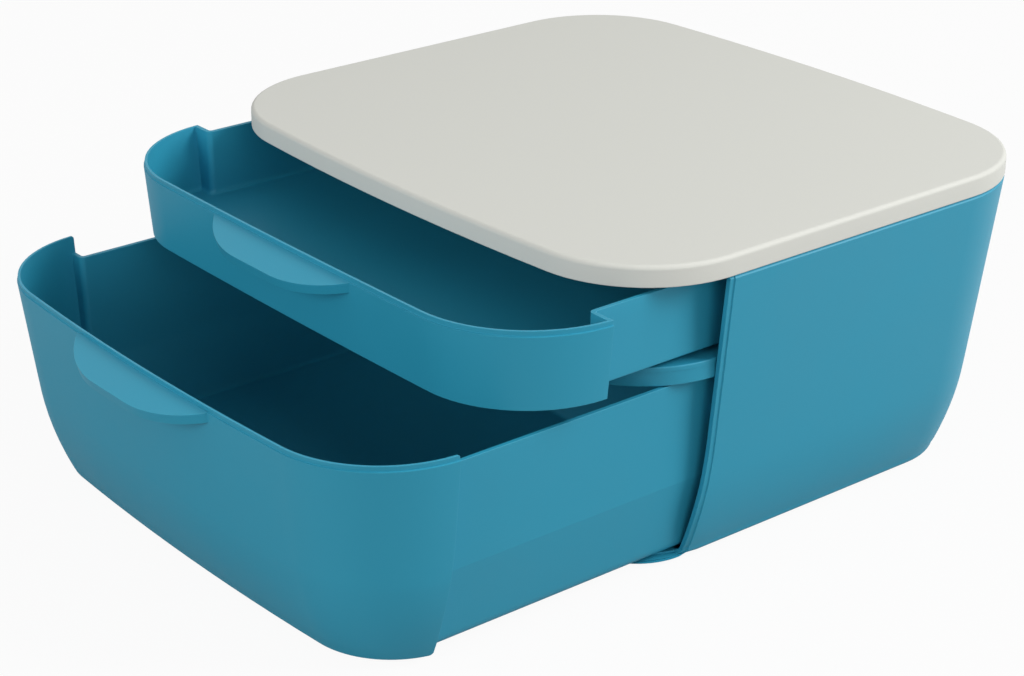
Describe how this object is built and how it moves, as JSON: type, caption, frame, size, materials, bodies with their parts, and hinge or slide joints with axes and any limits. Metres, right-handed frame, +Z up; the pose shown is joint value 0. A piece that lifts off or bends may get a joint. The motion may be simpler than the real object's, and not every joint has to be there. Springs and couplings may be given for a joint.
{
  "type": "file box with drawers",
  "caption": "Low desktop file box with rounded corners, a flat pale cover and shallow and deep wrap-fronted drawers, each with a half-moon pull.",
  "frame": {"origin": "centre of the casing's footprint on the desk, under the rubber feet", "axes": "+X to the right as seen from the front, +Y to the rear, +Z up; the drawers slide out along -Y"},
  "size_m": [0.37, 0.4954, 0.1797],
  "materials": {
    "casing": "fine moulded grain, satin",
    "top_cover": "fine moulded grain, satin",
    "divider_shelf": "fine moulded grain, satin",
    "upper_drawer": "fine moulded grain, satin",
    "lower_drawer": "fine moulded grain, satin",
    "catch": "smooth",
    "glide": "smooth, slippery",
    "foot": "matt",
    "screw": "zinc plated"
  },
  "bodies": {
    "base": {"casing": "casing", "top_cover": "top_cover", "divider_shelf": "divider_shelf", "upper_glide_left": "glide", "upper_glide_right": "glide", "lower_glide_left": "glide", "lower_glide_right": "glide", "foot_front_left": "foot", "foot_front_right": "foot", "foot_rear_left": "foot", "foot_rear_right": "foot", "cover_screws": "screw", "shelf_screws": "screw"},
    "upper_drawer_body": {"upper_drawer": "upper_drawer", "upper_catch_left": "catch", "upper_catch_right": "catch"},
    "lower_drawer_body": {"lower_drawer": "lower_drawer", "lower_catch_left": "catch", "lower_catch_right": "catch"}
  },
  "joints": [
    {"name": "upper_drawer_slide", "type": "slide", "parent": "base", "child": "upper_drawer_body", "axis": [0, -1, 0], "range_m": [-0.0744, 0.0936]},
    {"name": "lower_drawer_slide", "type": "slide", "parent": "base", "child": "lower_drawer_body", "axis": [0, -1, 0], "range_m": [-0.1631, 0.0049]}
  ]
}
